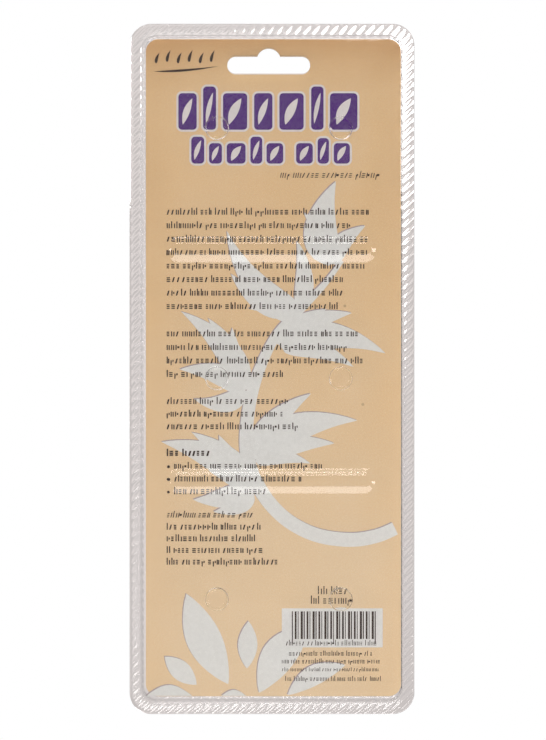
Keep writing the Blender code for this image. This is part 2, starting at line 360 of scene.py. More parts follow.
def bridge(shape, first, second):
    for i, vertex in enumerate(first):
        j = (i + 1) % len(first)
        shape.faces.new((vertex, first[j], second[j], second[i]))


def bridge_all(shape, rings):
    for first, second in zip(rings, rings[1:]):
        bridge(shape, first, second)


def fill_between(shape, rings):
    """Flat faces inside the first ring and outside the others."""
    edges = []
    for ring in rings:
        for i, vertex in enumerate(ring):
            pair = (vertex, ring[(i + 1) % len(ring)])
            edges.append(shape.edges.get(pair) or shape.edges.new(pair))
    bmesh.ops.triangle_fill(shape, use_beauty=True, edges=edges)


def finished(name, shape, material, smooth_angle=40):
    """Closes a bmesh into a scene object with outward faces and smooth rounds."""
    bmesh.ops.recalc_face_normals(shape, faces=shape.faces)
    mesh = bpy.data.meshes.new(name)
    shape.to_mesh(mesh)
    shape.free()
    mesh.shade_smooth()
    mesh.set_sharp_from_angle(angle=math.radians(smooth_angle))
    mesh.materials.append(material)
    item = bpy.data.objects.new(name, mesh)
    bpy.context.scene.collection.objects.link(item)
    return item


def slot_loop(grow=0.0):
    """The hang slot: a bar with rounded ends, and the hump that centres the hook."""
    foot = math.degrees(math.asin((HUMP_RADIUS + SLOT_TOP) / (HUMP_RADIUS + grow)))
    points = []
    for x, z, start in ((SLOT_HALF, SLOT_TOP, 0), (-SLOT_HALF, SLOT_TOP, 90),
                        (-SLOT_HALF, SLOT_BOTTOM, 180), (SLOT_HALF, SLOT_BOTTOM, 270)):
        if start == 90:
            for i in range(25):
                angle = math.radians(foot + (180 - 2 * foot) * i / 24)
                reach = HUMP_RADIUS + grow
                points.append((reach * math.cos(angle), -HUMP_RADIUS + reach * math.sin(angle)))
        x0 = x - math.copysign(SLOT_CORNER, x)
        z0 = z + (-SLOT_CORNER if start < 180 else SLOT_CORNER)
        for i in range(13):
            angle = math.radians(start + 90 * i / 12)
            reach = SLOT_CORNER + grow
            points.append((x0 + reach * math.cos(angle), z0 + reach * math.sin(angle)))
    return points


def obround_loop(site, grow):
    x, z, length, height = site
    radius = height / 2 + grow
    half = length / 2 + grow
    counts = (1 if length == height else 40, 1, 14)
    return rounded_loop(x - half, x + half, z + radius, z - radius, radius * 0.9999, counts)


def weld_band(side):
    """Rings from the film's inside edge round its cut edge and over the roped weld."""
    mouth = (WELD_WIDTH,) * 4
    rings = [(pack_loop((0,) * 4, PACK_CORNER), side * FLANGE_INSIDE),
             (pack_loop((0,) * 4, PACK_CORNER), side * (FLANGE - CUT_ROUND)),
             (pack_loop((CUT_WIDTH,) * 4, PACK_CORNER), side * FLANGE)]
    for share in (0, 0.05, 0.12, 0.22, 0.35, 0.5, 0.65, 0.78, 0.88, 0.95, 1.0):
        rim = math.sin(math.pi * share) ** 0.6 if 0 < share < 1 else 0.0
        fold = MOUTH_FOLD if share == 0.95 else 0.0
        corner = PACK_CORNER + (MOUTH_CORNER - PACK_CORNER) * share

        def level(x, z, rim=rim, fold=fold):
            return side * (FLANGE - fold + rim * (RIB_VALLEY + (RIB_CREST - RIB_VALLEY) * rope(x, z)))
        rings.append((pack_loop(blend_insets(WELD_MARGINS, mouth, share), corner), level))
    return rings


def wall_rings(inside):
    """Rings down the tray's drafted wall; the inner side lies one film nearer the card."""
    rings = []
    shift = WALL_SHIFT if inside else 0.0
    start = FLANGE_INSIDE if inside else FLANGE
    depth = TRAY_DEPTH - FILM if inside else TRAY_DEPTH
    for i in range(0 if inside else 1, 11):
        share = i / 10
        insets = blend_insets((WELD_WIDTH + shift,) * 4,
                              tuple(b + shift for b in PANEL_BORDERS), share)
        corner = MOUTH_CORNER - shift + (PANEL_CORNER - MOUTH_CORNER) * share
        rings.append((pack_loop(insets, corner), -(start + (depth - start) * ease(share))))
    return rings


def make_back_shell():
    shape = bmesh.new()
    band = [add_ring(shape, loop, level) for loop, level in weld_band(-1)]
    outer = [add_ring(shape, loop, level) for loop, level in wall_rings(False)]
    inner = [add_ring(shape, loop, level) for loop, level in wall_rings(True)]
    bridge_all(shape, band + outer)
    bridge_all(shape, [band[0]] + inner)
    for surface, last, grow in ((-TRAY_DEPTH, outer[-1], 0.0), (-TRAY_DEPTH + FILM, inner[-1], RECESS_SHIFT)):
        openings = [add_ring(shape, slot_loop(), surface)]
        for site in RECESS_RIBS + DIMPLES:
            slope = RIB_SLOPE if site in RECESS_RIBS else DIMPLE_SLOPE
            rise = RIB_RISE if site in RECESS_RIBS else 0.0
            deep = RECESS_DEPTH if site in RECESS_RIBS else DIMPLE_DEPTH
            rings = []
            for i in range(17):
                x, z, length, height = site
                loop = obround_loop((x, z + rise * i / 16, length, height), grow - slope * i / 16)
                rings.append(add_ring(shape, loop, surface + deep * ease(i / 16)))
            bridge_all(shape, rings)
            shape.faces.new(rings[-1])
            openings.append(rings[0])
        fill_between(shape, [last] + openings)
        if grow == 0.0:
            slot_outside = openings[0]
        else:
            bridge(shape, slot_outside, openings[0])
    return finished("formed_back_shell", shape, CLEAR_FILM)


back_shell = make_back_shell()
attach(back_shell, "back_shell")
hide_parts("back_shell")

# ------ backing card
# One sheet of board, die-cut with rounded corners and the hang slot, lying loose between
# the shells: a warm peach print on both sides, with painted shade darkening a band along
# the top edge, and raw pale board at the cut edges.
CARD_BACK = -0.00055
CARD_FRONT = -0.00015
INK_STEP = 0.00002
INK_SINK = 0.00003
PEACH_TONES = ((0.0, (0.600, 0.350, 0.152)), (0.6, (0.757, 0.514, 0.270)), (1.0, (0.768, 0.574, 0.360)))


def board_print_and_painted_shade(tree):
    """Peach print, mottled, deeper down both sides and lighter lower down, with painted shade darkening a
    band along the top edge.
    """
    place = add(tree, "TexCoord").outputs["Object"]
    split = add(tree, "SeparateXYZ", Vector=place)
    height = add(tree, "MapRange", Value=split.outputs["Z"], From_Min=BOTTOM, From_Max=TOP).outputs[0]
    # painted shade: the ramp's last stops darken a band along the card's top edge; lower stops only make the
    # tone lighter lower down
    painted_top_shade_and_height_tone = ramp(tree, height, ((0.0, 0.95), (0.20, 1.0), (0.45, 0.82), (0.72, 0.64),
                               (0.90, 0.62), (0.945, 0.36), (0.975, 0.0)))
    off = maths(tree, "ABSOLUTE", maths(tree, "SUBTRACT", split.outputs["X"], PACK_MIDDLE + 0.0005))
    sides = add(tree, "MapRange", Value=off, From_Min=0.030, From_Max=0.0480, To_Min=0.0, To_Max=0.14)
    cloud = add(tree, "TexNoise", Vector=place, Scale=24.0, Detail=3.0, Roughness=0.55)
    patches = maths(tree, "MULTIPLY_ADD", cloud.outputs[0], 0.34, -0.17)
    share = maths(tree, "ADD", maths(tree, "SUBTRACT", painted_top_shade_and_height_tone, sides.outputs[0]), patches, clamp=True)
    tone = ramp(tree, share, PEACH_TONES)
    grit = add(tree, "TexNoise", Vector=place, Scale=1900.0, Detail=1.0)
    tone = mixed(tree, 0.16, tone, ramp(tree, grit.outputs[0], ((0.30, 0.30), (0.70, 0.72))), "OVERLAY")
    fleck = add(tree, "TexVoronoi", Vector=place, Scale=62.0)
    spot = maths(tree, "LESS_THAN", fleck.outputs["Distance"], 0.035)
    return mixed(tree, maths(tree, "MULTIPLY", spot, 0.35), tone, (0.18, 0.10, 0.05)), place


def card_board():
    material, tree, shader = new_material("card_board", Roughness=0.6, Specular_IOR_Level=0.2)
    tone, place = board_print_and_painted_shade(tree)
    facing = add(tree, "SeparateXYZ", Vector=add(tree, "TexCoord").outputs["Normal"]).outputs["Y"]
    cut = maths(tree, "LESS_THAN", maths(tree, "ABSOLUTE", facing), 0.5)
    fibres = add(tree, "TexNoise", Vector=place, Scale=2600.0, Detail=2.0)
    raw = ramp(tree, fibres.outputs[0], ((0.3, (0.62, 0.54, 0.44)), (0.7, (0.85, 0.79, 0.70))))
    dress(tree, shader, Base_Color=mixed(tree, cut, tone, raw))
    relief(tree, shader, fibres.outputs[0], 0.00001, 0.5)
    return material


def ink(name, colour, worn=0.06):
    """A flat printed colour, slightly uneven where the ink has sunk into the board."""
    material, tree, shader = new_material(name, Roughness=0.55, Specular_IOR_Level=0.15)
    place = add(tree, "TexCoord").outputs["Object"]
    sunk = add(tree, "TexNoise", Vector=place, Scale=900.0, Detail=2.0)
    paler = tuple(part + (1 - part) * worn for part in colour)
    darker = tuple(part * (1 - worn) for part in colour)
    tone = ramp(tree, sunk.outputs[0], ((0.32, darker), (0.68, paler)))
    dress(tree, shader, Base_Color=tone)
    return material


def make_card():
    shape = bmesh.new()
    faces = []
    for level in (CARD_BACK, CARD_FRONT):
        faces.append((add_ring(shape, pack_loop(PANEL_BORDERS, PANEL_CORNER), level),
                      add_ring(shape, slot_loop(), level)))
        fill_between(shape, faces[-1])
    for one, other in zip(*faces):
        bridge(shape, one, other)
    return finished("printed_card", shape, card_board())


def printed(name, outlines, layer, material, side=-1):
    """Flat inked shapes as thin solids; outlines are in millimetres, side -1 is the back."""
    shape = bmesh.new()
    surface = CARD_BACK if side < 0 else CARD_FRONT
    base = surface - side * INK_SINK
    for number, outline in enumerate(outlines):
        lift = INK_STEP * (layer + (0.08 * (1 + number % 9) if number else 0))
        rings = [[shape.verts.new((x / 1000, y, z / 1000)) for x, z in outline]
                 for y in (base, surface + side * lift)]
        bridge(shape, *rings)
        shape.faces.new(rings[0])
        shape.faces.new(rings[1])
    item = finished(name, shape, material, 20)
    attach(item, "backing_card")
    return item


card = make_card()
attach(card, "backing_card")
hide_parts("backing_card")

# ------ printed leaves
# A pale grey spray printed on both faces of the card: pointed lobes on one curved stem,
# with separate petals at the foot and a thin violet shadow up and to the left.
LEAF_GREY = ink("leaf_grey", (0.735, 0.725, 0.690), 0.04)
LEAF_SHADOW = ink("leaf_shadow", (0.400, 0.320, 0.330), 0.05)
SHADOW_STEP = 0.34
PRINT_LEFT, PRINT_RIGHT, PRINT_FOOT = -45.6, 49.1, -240.9
STEM = (  # x, z and width
        (28.0, -78.0, 1.4), (21.0, -87.5, 2.2), (13.0, -96.0, 3.0), (3.4, -106.0, 3.4), (-2.8, -118.0, 4.0),
        (-6.8, -131.0, 4.6), (-8.4, -146.0, 5.0), (-6.4, -157.5, 5.2), (-0.6, -168.0, 5.2),
        (7.5, -176.0, 5.2), (18.0, -181.2, 5.2), (30.2, -182.9, 5.2), (40.5, -181.4, 5.0),
        (49.2, -177.6, 4.8))
LOBES = (  # foot x and z, tip x and z, width, sideways bend
    (22.0, -81.0, 25.0, -49.5, 13.0, 4.0), (21.5, -79.0, 13.0, -61.0, 7.0, -2.0),
    (23.0, -80.0, 36.0, -66.0, 7.5, 2.0), (11.0, -98.0, -15.5, -68.0, 9.5, 5.0),
    (12.0, -97.0, 10.5, -71.5, 7.0, -2.0), (9.0, -98.5, -14.0, -84.0, 8.5, 2.5),
    (8.0, -100.5, -7.5, -97.0, 6.0, -2.0),
    (-8.0, -127.0, -32.5, -98.0, 9.5, -3.5), (-8.5, -125.0, -22.5, -100.5, 8.0, -1.5),
    (-8.0, -126.0, -13.5, -104.0, 7.0, 1.5), (-8.5, -127.0, -33.0, -119.5, 8.5, -2.5),
    (-8.0, -128.0, -27.8, -130.5, 7.5, 3.0),
    (3.0, -110.0, 21.5, -97.0, 7.0, 1.5), (4.0, -109.5, 31.0, -98.5, 8.5, 2.5),
    (4.0, -110.5, 43.5, -113.5, 11.0, 5.0), (5.0, -111.0, 31.5, -118.5, 7.5, 2.5),
    (-6.0, -150.5, 15.8, -128.5, 8.5, 2.5), (-5.5, -151.0, 33.0, -138.5, 11.5, 4.5),
    (-6.0, -152.0, 24.5, -147.0, 8.5, 2.0), (-5.0, -153.5, 15.5, -154.5, 6.0, 2.0),
    (-6.5, -152.0, 1.6, -142.0, 4.0, 1.5),
    (-5.5, -163.5, -39.8, -146.5, 11.5, -3.5), (-6.5, -163.0, -28.5, -143.0, 9.0, -2.0),
    (-6.5, -162.0, -18.5, -144.0, 8.0, 1.0), (-6.0, -164.0, -28.0, -168.0, 8.5, 1.5),
    (-5.5, -165.0, -20.5, -172.5, 7.0, 2.0))
PETALS = (  # the same
    (-15.0, -236.6, -30.6, -203.0, 13.0, 1.2), (-26.8, -236.8, -38.6, -226.4, 7.2, 0.0),
    (-8.1, -230.8, -7.5, -213.2, 7.2, 0.0), (-3.6, -239.8, 15.5, -214.5, 12.5, 2.5),
    (7.0, -240.7, 28.5, -229.5, 7.5, 2.0))


def leaf(foot_x, foot_z, tip_x, tip_z, width, bend, blunt=0.55):
    """A pointed lobe along a bowed middle line; blunt sets how far down it is widest."""
    run_x, run_z = tip_x - foot_x, tip_z - foot_z
    long = math.hypot(run_x, run_z)
    across_x, across_z = -run_z / long, run_x / long
    left, right = [], []
    for i in range(1, 16):
        t = i / 16
        half = width / 2 * math.sin(math.pi * t ** blunt) ** 0.85
        bow = bend * 4 * t * (1 - t)
        x, z = foot_x + run_x * t + across_x * bow, foot_z + run_z * t + across_z * bow
        left.append((x + across_x * half, z + across_z * half))
        right.append((x - across_x * half, z - across_z * half))
    return [(foot_x, foot_z)] + left + [(tip_x, tip_z)] + right[::-1]


def ribbon(points):
    """A curved band through (x, z, width) points, smoothed between them."""
    smooth = []
    for i in range(len(points) - 1):
        around = [points[max(0, min(len(points) - 1, i + k))] for k in (-1, 0, 1, 2)]
        for step in range(6):
            t = step / 6
            smooth.append([0.5 * (2 * b + (c - a) * t + (2 * a - 5 * b + 4 * c - d) * t * t
                                  + (3 * b - a - 3 * c + d) * t ** 3) for a, b, c, d in zip(*around)])
    left, right = [], []
    for before, (x, z, width), after in zip(smooth, smooth[1:], smooth[2:]):
        run_x, run_z = after[0] - before[0], after[1] - before[1]
        long = math.hypot(run_x, run_z)
        left.append((x - run_z / long * width / 2, z + run_x / long * width / 2))
        right.append((x + run_z / long * width / 2, z - run_x / long * width / 2))
    return left + right[::-1]


def kept(outline):
    """The outline held inside the card's edges."""
    return [(min(max(x, PRINT_LEFT), PRINT_RIGHT), max(z, PRINT_FOOT)) for x, z in outline]


def moved(outline, x, z):
    return [(px + x, pz + z) for px, pz in outline]


def foot_arc(x, long, high):
    """A low mound standing on the card's bottom edge."""
    mound = [(x + long * t / 12, PRINT_FOOT + high * math.sin(math.pi * t / 12)) for t in range(13)]
    return [(x, PRINT_FOOT - 0.05)] + mound + [(x + long, PRINT_FOOT - 0.05)]


spray = [ribbon(STEM)] + [leaf(*one) for one in LOBES] + [leaf(*one, blunt=1.0) for one in PETALS]
spray = [kept(one) for one in spray] + [foot_arc(-45.5, 17.0, 4.0), foot_arc(-17.5, 9.0, 2.2)]
shadows = [kept(moved(one, -SHADOW_STEP, SHADOW_STEP)) for one in spray]
printed("leaf_shadows", shadows, 1, LEAF_SHADOW)
printed("leaves", spray, 2, LEAF_GREY)

# ------ printed title and text
# The title is two rows of plain purple tiles with a pale rim and a leaf cut from each. All
# copy is stand-in strokes: short marks in word-length groups, set where lines of type go.
TITLE_PURPLE = ink("title_purple", (0.066, 0.006, 0.172), 0.02)
TITLE_RIM = ink("title_rim", (0.735, 0.680, 0.655), 0.04)
TEXT_BROWN = ink("text_brown", (0.030, 0.012, 0.006), 0.01)
LABEL_PAPER = ink("label_grey", (0.735, 0.720, 0.690), 0.04)


def pill(x0, x1, z0, z1, corner=None, grow=0.0, steps=6):
    corner = min(abs(x1 - x0), abs(z1 - z0)) / 2 * 0.999 if corner is None else corner
    return rounded_loop(x0 - grow, x1 + grow, z1 + grow, z0 - grow, corner + grow, (1, 1, steps))


def stroke(x, z, high, wide, lean=0.0):
    return [(x, z), (x + wide, z), (x + wide + lean * high, z + high), (x + lean * high, z + high)]


def marks_line(source, start, end, base, size, weight, lean=0.0):
    """A line of stand-in strokes that form no letters; size is their usual height."""
    marks_made = []
    x = start
    while x < end - size * 0.9:
        for _ in range(source.choice((2, 3, 3, 4, 5, 6, 7, 8, 9))):
            wide = size * source.choice((0.30, 0.52, 0.62, 0.62, 0.68, 0.80))
            if x + wide > end:
                break
            kind = source.randrange(6)
            if wide < size * 0.4:
                marks_made.append(stroke(x, base, size * source.choice((1.0, 1.35, 1.40)), weight, lean))
                wide = weight
            elif kind < 2:
                marks_made.append(stroke(x, base, size * source.choice((1.0, 1.0, 1.38)), weight, lean))
                marks_made.append(stroke(x + wide - weight, base, size * 0.94, weight, lean))
            elif kind < 4:
                for part in (0.05, 0.40, 0.75):
                    marks_made.append(stroke(x + lean * part * size, base + part * size, weight * 0.9,
                                             wide - weight * 0.5, lean))
            elif kind == 4:
                marks_made.append(stroke(x, base - size * source.choice((0.0, 0.36)), size, weight, lean))
                marks_made.append(stroke(x + weight * 1.7, base + size * 0.34, size * 0.4,
                                         max(wide - 1.8 * weight, weight), lean))
            else:
                marks_made.append(stroke(x, base, size * 0.98, weight * 1.3, lean + 0.28))
            x += wide + size * 0.26
        x += size * 0.42
    return marks_made


copy = random.Random(12)
COPY_LEFT = -37.95
COPY_SIZE = 1.86
COPY_WEIGHT = 0.41
text_marks = []
for z, end in ((-60.9, 38.1), (-65.92, 30.8), (-70.94, 38.4), (-75.96, 37.9), (-80.98, 36.9),
               (-86.0, 28.7), (-91.02, 27.6), (-96.04, 26.7), (-106.2, 36.0), (-111.23, 30.8),
               (-116.26, 35.1), (-121.29, 7.5), (-131.35, 7.5), (-136.06, 6.4), (-140.77, 11.6),
               (-178.1, -1.1), (-182.44, -3.7), (-186.78, -2.0), (-191.12, 5.6)):
    text_marks += marks_line(copy, COPY_LEFT, end, z - 1.0, COPY_SIZE, COPY_WEIGHT)
text_marks += marks_line(copy, COPY_LEFT, -21.9, -151.7, 1.95, 0.56)
for z, end in ((-155.5, 20.5), (-160.2, 13.1), (-164.9, -0.7)):
    text_marks.append(pill(-37.85, -36.75, z - 0.75, z + 0.35))
    text_marks += marks_line(copy, -35.2, end, z - 1.0, COPY_SIZE, COPY_WEIGHT)
text_marks += marks_line(copy, COPY_LEFT, -4.0, -174.6, 1.8, 0.34, 0.22)
text_marks += marks_line(copy, 4.2, 42.5, -48.2, 1.9, 0.30, 0.22)
for z, start, end, size in ((-203.1, 18.3, 29.5, 2.2), (-206.7, 15.7, 32.1, 2.2), (-222.2, 6.4, 40.6, 1.5),
                            (-226.0, 7.5, 39.6, 1.35), (-228.9, 4.9, 42.3, 1.35), (-231.8, 4.9, 42.3, 1.1),
                            (-235.4, 6.2, 42.3, 1.35)):
    text_marks += marks_line(copy, start, end, z, size, size * 0.17)

TILES = (  # left, right, foot, top of each plain tile in the title's two rows
    (-33.6, -26.8, -30.3, -16.7), (-24.4, -19.6, -30.3, -14.2), (-17.0, -8.0, -30.3, -16.7),
    (-5.4, 1.4, -30.3, -16.7), (4.0, 13.0, -30.3, -16.7), (15.8, 20.4, -30.3, -14.2),
    (22.8, 33.0, -30.3, -16.7),
    (-28.8, -24.0, -42.9, -32.9), (-22.2, -17.4, -42.9, -35.3), (-15.6, -8.6, -42.9, -35.3),
    (-6.8, -2.4, -42.9, -32.9), (-0.8, 5.4, -42.9, -35.3), (10.2, 16.4, -42.9, -35.3),
    (18.2, 22.4, -42.9, -33.4), (24.2, 30.2, -42.9, -35.3))
printed("title_rims", [pill(*one, corner=1.4, grow=0.75) for one in TILES], 3, TITLE_RIM)
printed("title_tiles", [pill(*one, corner=1.4) for one in TILES], 4, TITLE_PURPLE)


def leaf_cuts(tiles):
    cuts = []
    for x0, x1, z0, z1 in tiles:
        wide, high = x1 - x0, z1 - z0
        cuts.append(leaf(x0 + wide * 0.24, z0 + high * 0.14, x1 - wide * 0.24, z1 - high * 0.14,
                         wide * 0.36, wide * 0.05, blunt=1.0))
    return cuts


printed("title_leaf_cuts", leaf_cuts(TILES), 5, TITLE_RIM)

bars = []
for i in range(29):
    x = 8.6 + 1.1 * i
    foot = -221.6 if i % 14 == 0 else -219.8
    bars.append(pill(x, x + (0.40, 0.66, 0.28, 0.80)[i % 4], foot, -209.5, corner=0.02, steps=1))
dabs = [leaf(-42.0 + 4.1 * i, -5.6 + 0.5 * (i % 2), -40.6 + 4.1 * i, -1.6 + 0.9 * (i % 2), 1.1, 0.3)
        for i in range(6)]
dabs.append(leaf(-18.5, -6.6, -42.6, -8.6, 0.85, 0.5, blunt=1.3))
printed("barcode_label", [pill(4.9, 42.4, -222.9, -208.4, corner=0.3)], 3, LABEL_PAPER)
printed("barcode_bars", bars + dabs, 4, TEXT_BROWN)
printed("text_strokes", text_marks, 4, TEXT_BROWN)

FRONT_TILES = [(x0 * 0.95, x1 * 0.95, z0 * 0.5 - 4.2, z1 * 0.5 - 4.2) for x0, x1, z0, z1 in TILES[:7]]
printed("front_leaf_shadows", shadows, 1, LEAF_SHADOW, 1)
printed("front_leaves", spray, 2, LEAF_GREY, 1)
printed("front_rims", [pill(*one, corner=0.9, grow=0.5) for one in FRONT_TILES], 3, TITLE_RIM, 1)
printed("front_tiles", [pill(*one, corner=0.9) for one in FRONT_TILES], 4, TITLE_PURPLE, 1)
printed("front_leaf_cuts", leaf_cuts(FRONT_TILES), 5, TITLE_RIM, 1)

# ------ front shell
# The second film, welded face to face with the first, carries three drafted pockets: each
# has a wide head for the ferrule, a soft shoulder and a channel down to a round end.
TIP_LEVEL = -0.026
FERRULE_WALL = 0.0004
GAP = 0.0003
SHEET = 0.0005
HEAD_ROOM = 0.0020
NECK_ROOM = 0.0018
END_ROOM = 0.0030
TOP_ROOM = 0.0007
POCKET_DRAFT = 0.07
POCKET_EDGE = 0.0025
POCKET_FOOT = 0.0008
POCKET_CROWN = 0.00012
CROWN_RUN = 0.0012
HEAD_CORNER = 0.0065
SHOULDER_RUN = 0.014
# tuft: bristle diameter. bare: bristle outside the ferrule. ferrule: its length. waist,
# belly and tail: handle diameters. length: the whole brush, hanging with its tip up.
Brush = namedtuple("Brush", "name column tuft bare ferrule waist belly tail length")
BRUSHES = (
    Brush("large", -0.0350, 0.0165, 0.019, 0.034, 0.0125, 0.0136, 0.0060, 0.200),
    Brush("medium", 0.0039, 0.0120, 0.015, 0.030, 0.0092, 0.0106, 0.0050, 0.192),
    Brush("small", 0.0398, 0.0075, 0.011, 0.026, 0.0066, 0.0080, 0.0040, 0.184),
)
CLEAR_FRONT = clear_film("clear_film_front")


def mouth_radius(brush):
    return brush.tuft / 2 + FERRULE_WALL


def axis_depth(brush):
    """How far in front of the weld's middle plane the brush's axis lies."""
    return GAP / 2 + mouth_radius(brush)


def pocket_loop(brush, inset):
    """Plan of a pocket at one level: head, shoulder, tapering channel and round tail."""
    head = mouth_radius(brush) + HEAD_ROOM - inset
    neck = brush.belly / 2 + NECK_ROOM - inset
    tail = brush.tail / 2 + NECK_ROOM + HEAD_ROOM - inset
    top = TIP_LEVEL + END_ROOM - inset
    shoulder = TIP_LEVEL - brush.bare - brush.ferrule + SHOULDER_RUN / 3
    end = TIP_LEVEL - brush.length - END_ROOM + inset
    corner = min(HEAD_CORNER, head * 0.8)
    side = [((head - corner) * i / 8, top) for i in range(1, 8)]
    for i in range(19):
        angle = math.radians(90 - 5 * i)
        side.append((head - corner + corner * math.cos(angle), top - corner + corner * math.sin(angle)))
    side += [(head, top - corner + (shoulder - top + corner) * i / 16) for i in range(1, 16)]
    side += [(head + (neck - head) * ease(i / 24), shoulder - SHOULDER_RUN * i / 24) for i in range(25)]
    foot = shoulder - SHOULDER_RUN
    side += [(neck + (tail - neck) * i / 40, foot + (end + tail - foot) * i / 40) for i in range(1, 40)]
    side += [(tail * math.cos(math.radians(-5 * i)), end + tail + tail * math.sin(math.radians(-5 * i)))
             for i in range(19)]
    mirrored = [(-x, z) for x, z in reversed(side[:-1])]
    return [(brush.column + x, z) for x, z in [(0.0, top)] + side + mirrored]


def pocket_rings(shape, brush, inner):
    """Rings from the flat sheet up the wall, round the edge and on to a slightly domed top."""
    top = axis_depth(brush) + mouth_radius(brush) + TOP_ROOM + SHEET - inner
    start = FLANGE if inner == 0 else FLANGE_INSIDE
    fillet = POCKET_FOOT + inner
    edge = POCKET_EDGE - inner
    mouth = inner - SHEET
    rings = []
    for i in range(7):
        angle = math.radians(15 * i)
        rings.append((start + fillet * (1 - math.cos(angle)), mouth - fillet * (1 - math.sin(angle))))
    foot = start + fillet
    brow = top - POCKET_CROWN - edge
    lean = mouth + POCKET_DRAFT * top
    for i in range(1, 9):
        rings.append((foot + (brow - foot) * i / 8, mouth + (lean - mouth) * i / 8))
    for i in range(1, 11):
        angle = math.radians(9 * i)
        rings.append((brow + edge * math.sin(angle), lean + edge * (1 - math.cos(angle))))
    rings.append((top, lean + edge + CROWN_RUN))
    return [add_ring(shape, pocket_loop(brush, inset), height) for height, inset in rings]


def make_front_shell():
    shape = bmesh.new()
    band = [add_ring(shape, loop, level) for loop, level in weld_band(1)]
    bridge_all(shape, band)
    slots = []
    for inner, border, level in ((0.0, band[-1], FLANGE), (FILM, band[0], FLANGE_INSIDE)):
        slots.append(add_ring(shape, slot_loop(), level))
        mouths = []
        for brush in BRUSHES:
            rings = pocket_rings(shape, brush, inner)
            bridge_all(shape, rings)
            shape.faces.new(rings[-1])
            mouths.append(rings[0])
        fill_between(shape, [border, slots[-1]] + mouths)
    bridge(shape, *slots)
    return finished("formed_front_shell", shape, CLEAR_FRONT)


front_shell = make_front_shell()
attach(front_shell, "front_shell")
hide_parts("front_shell")

# ------ handles
# Beech dowel turned to a full belly and a long taper, stained honey and dipped in gloss
# lacquer; the tenon at the top is bare wood, glued and crimped into the ferrule.
CRIMP_DEPTH = 0.00035
CRIMP_HALF = 0.0009
PLUG_LENGTH = 0.0045
TENON_ROUND = 0.0007
SHOULDER_ROUND = 0.0004
BELLY_SHARE = 0.18
END_RADIUS = 0.0004
TURNS = 96


def lathe(shape, profile, column, depth, turns=TURNS):
    """Turns (radius, z) points into closed rings about an upright axis."""
    rings = []
    for radius, z in profile:
        loop = []
        for i in range(turns):
            angle = 2 * math.pi * i / turns
            x, y = column + radius * math.cos(angle), depth + radius * math.sin(angle)
            loop.append(shape.verts.new((x, y, z)))
        rings.append(loop)
    bridge_all(shape, rings)
    return rings


def streaks(tree, place, stretch, detail, roughness=0.5):
    """Noise at a scale of its own along each axis."""
    mapped = add(tree, "Mapping", Vector=place, Scale=stretch).outputs[0]
    return add(tree, "TexNoise", Vector=mapped, Scale=1.0, Detail=detail, Roughness=roughness).outputs[0]


def lacquered_beech():
    material, tree, shader = new_material("lacquered_beech_fine", Roughness=0.38, Coat_Roughness=0.06,
                                          Coat_Weight=0.85, Coat_IOR=1.5)
    place = add(tree, "TexCoord").outputs["Object"]
    wander = add(tree, "TexNoise", Vector=place, Scale=22.0, Detail=2.0)
    bent = add(tree, "VectorMath", {"operation": "MULTIPLY_ADD"}, Vector=wander.outputs["Color"])
    bent.inputs[1].default_value = (0.0012, 0.0012, 0.0)
    tree.links.new(place, bent.inputs[2])
    grain = streaks(tree, bent.outputs[0], (420, 420, 9), 5.0, 0.62)
    tone = ramp(tree, grain, ((0.28, (0.30, 0.135, 0.042)), (0.50, (0.47, 0.245, 0.085)),
                             (0.72, (0.62, 0.36, 0.145))))
    flecks = ramp(tree, streaks(tree, place, (2600, 2600, 330), 1.0), ((0.60, 0.0), (0.68, 1.0)))
    tone = mixed(tree, maths(tree, "MULTIPLY", flecks, 0.45), tone, (0.235, 0.098, 0.030))
    pores = ramp(tree, streaks(tree, place, (3800, 3800, 150), 0.0), ((0.66, 0.0), (0.74, 1.0)))
    tone = mixed(tree, maths(tree, "MULTIPLY", pores, 0.5), tone, (0.13, 0.052, 0.018))
    dress(tree, shader, Base_Color=tone)
    dress(tree, shader, Coat_Weight=maths(tree, "MULTIPLY_ADD", marks(tree, 1.0), -0.40, 0.85))
    relief(tree, shader, grain, 0.00003, 0.35)
    return material


def rounded_edge(radius, z, size):
    """Three points round an outer edge that turns from level to upright."""
    turns = [math.radians(angle) for angle in (30, 60, 90)]
    return [(radius - size * (1 - math.sin(a)), z - size * (1 - math.cos(a))) for a in turns]


def handle_points(brush):
    """Outline from the tenon's nose down to the tail, as (radius, z)."""
    waist, belly, tail = brush.waist / 2, brush.belly / 2, brush.tail / 2
    tenon = waist - FERRULE_WALL - CRIMP_DEPTH - GAP
    mouth = TIP_LEVEL - brush.bare
    nose = mouth - 0.38 * brush.ferrule - PLUG_LENGTH - 2 * GAP
    shoulder = mouth - brush.ferrule - GAP
    end = TIP_LEVEL - brush.length
    taper = shoulder - end - tail
    points = [(END_RADIUS, nose), (tenon - TENON_ROUND, nose)]
    points += rounded_edge(tenon, nose, TENON_ROUND)
    points += [(tenon, shoulder + 0.0001), (tenon + 0.0001, shoulder), (waist - SHOULDER_ROUND, shoulder)]
    points += rounded_edge(waist, shoulder, SHOULDER_ROUND)
    start, run = shoulder - SHOULDER_ROUND, taper - SHOULDER_ROUND
    for i in range(1, 13):
        points.append((waist + (belly - waist) * ease(i / 12), start - run * BELLY_SHARE * i / 12))
    for i in range(1, 49):
        share = BELLY_SHARE + (1 - BELLY_SHARE) * i / 48
        points.append((belly + (tail - belly) * ease(i / 48), start - run * share))
    for i in range(1, 15):
        angle = math.radians(6 * i)
        points.append((tail * math.cos(angle), end + tail - tail * math.sin(angle)))
    return points


def fitted(item, brush, kind):
    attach(item, f"{brush.name}_brush")
    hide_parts(f"{brush.name}_brush_{kind}")


BEECH = lacquered_beech()
for brush in BRUSHES:
    shape = bmesh.new()
    rings = lathe(shape, handle_points(brush), brush.column, axis_depth(brush))
    shape.faces.new(rings[0])
    shape.faces.new(rings[-1])
    fitted(finished(f"turned_{brush.name}_handle", shape, BEECH, 35), brush, "handle")

